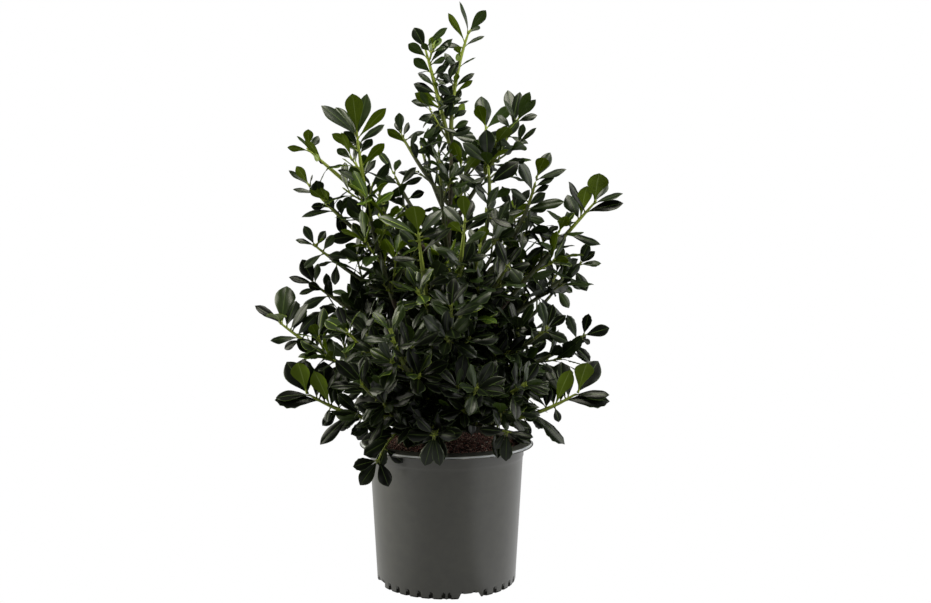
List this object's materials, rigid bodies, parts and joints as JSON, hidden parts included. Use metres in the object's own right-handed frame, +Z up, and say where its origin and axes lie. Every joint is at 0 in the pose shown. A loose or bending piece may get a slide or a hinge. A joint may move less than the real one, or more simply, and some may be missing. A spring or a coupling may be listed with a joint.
{
  "type": "potted holly shrub",
  "caption": "Bushy broad-leaved evergreen shrub with an upright leader above a wide, loose crown of glossy leaves, rooted in bark mix in a round, tapered nursery pot.",
  "frame": {"origin": "centre of the flat underside of the pot, on the ground and on the pot's axis", "axes": "+Z up along the pot's axis, -Y towards the front of the shrub, +X to the right seen from the front"},
  "size_m": [0.6151, 0.5659, 0.9378],
  "materials": {
    "pot_plastic": "semi-matt moulded black plastic, greyed by handling",
    "bark_mix": "moist composted bark with white specks",
    "bark": "smooth young bark, green to reddish brown",
    "foliage": "waxy dark green leaves, lighter underneath"
  },
  "bodies": {
    "root": {"pot": "pot_plastic", "soil": "bark_mix", "trunk": "bark", "bough_right_main": "bark", "bough_right_middle": "bark", "bough_right_low": "bark", "bough_left_main": "bark", "bough_left_high": "bark", "bough_left_lower": "bark", "bough_left_low": "bark", "bough_front_main": "bark", "bough_back_middle_right": "bark", "bough_back_middle": "bark", "bough_back_middle_left": "bark", "mass_leader_right": "foliage", "mass_leader_left": "foliage", "mass_top_left_inner": "foliage", "mass_top_right_inner": "foliage", "mass_top_right": "foliage", "mass_top_front": "foliage", "mass_top_back": "foliage", "mass_right_inner": "foliage", "mass_right_high": "foliage", "mass_right_main": "foliage", "mass_right_middle": "foliage", "mass_right_rear": "foliage", "mass_right_lower": "foliage", "mass_right_low": "foliage", "mass_left_inner": "foliage", "mass_left_main": "foliage", "mass_left_high": "foliage", "mass_left_upper": "foliage", "mass_left_middle": "foliage", "mass_left_rear": "foliage", "mass_left_lower": "foliage", "mass_left_low": "foliage", "mass_left_hanging": "foliage", "mass_front_main": "foliage", "mass_front_fork": "foliage", "mass_front_right_inner": "foliage", "mass_front_right_upper": "foliage", "mass_front_right": "foliage", "mass_front_right_lower": "foliage", "mass_front_right_low": "foliage", "mass_front_middle": "foliage", "mass_front_lower": "foliage", "mass_front_low": "foliage", "mass_front_left_upper": "foliage", "mass_front_left": "foliage", "mass_front_left_lower": "foliage", "mass_back_high_right": "foliage", "mass_back_high": "foliage", "mass_back_high_left": "foliage", "mass_back_middle_right": "foliage", "mass_back_middle": "foliage", "mass_back_middle_left": "foliage", "mass_back_low_right": "foliage", "mass_back_low": "foliage", "mass_back_low_left": "foliage"}
  },
  "joints": []
}
